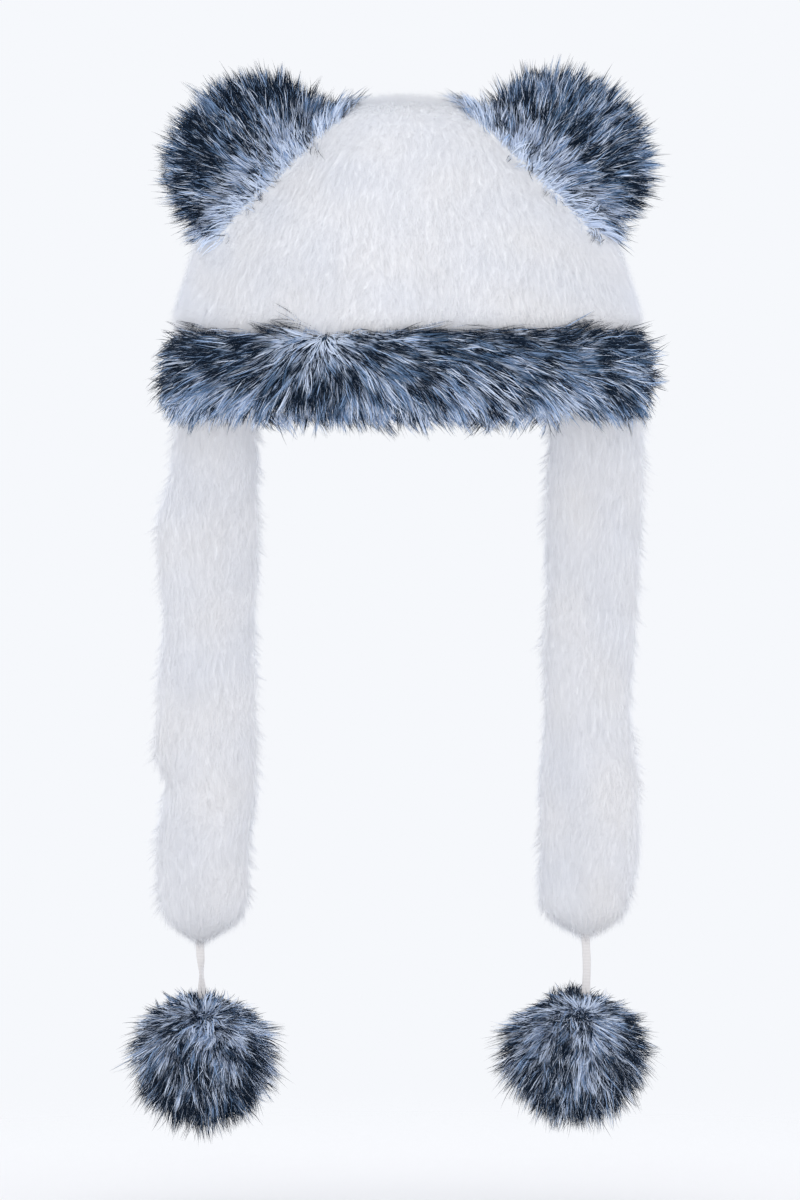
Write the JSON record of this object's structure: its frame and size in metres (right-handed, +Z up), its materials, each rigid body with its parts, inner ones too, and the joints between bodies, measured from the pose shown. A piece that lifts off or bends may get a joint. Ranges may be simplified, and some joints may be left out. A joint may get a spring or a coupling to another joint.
{
  "type": "hooded scarf",
  "caption": "Plush hat with round ears, a deep two-tone fur cuff and long padded scarf tails that end in cords and pompoms, held up as worn.",
  "frame": {"origin": "top of the head hollow, where the top of the head meets the inside of the crown", "axes": "+Z up out of the crown, -Y towards the front of the hat, X across it from the wearer's one ear to the other"},
  "size_m": [0.2968, 0.2092, 0.5822],
  "materials": {
    "white_plush": "short soft white faux-fur pile on a knitted backing",
    "tipped_fur": "long faux fur with pale roots, blue-grey middles and near-black tips",
    "white_tape": "flat woven white polyester tape"
  },
  "bodies": {
    "root": {"crown": "white_plush", "cuff": "tipped_fur", "ear_left": "tipped_fur", "ear_right": "tipped_fur", "tail_left": "white_plush", "tail_right": "white_plush", "cord_left": "white_tape", "cord_right": "white_tape", "pompom_left": "tipped_fur", "pompom_right": "tipped_fur"}
  },
  "joints": []
}
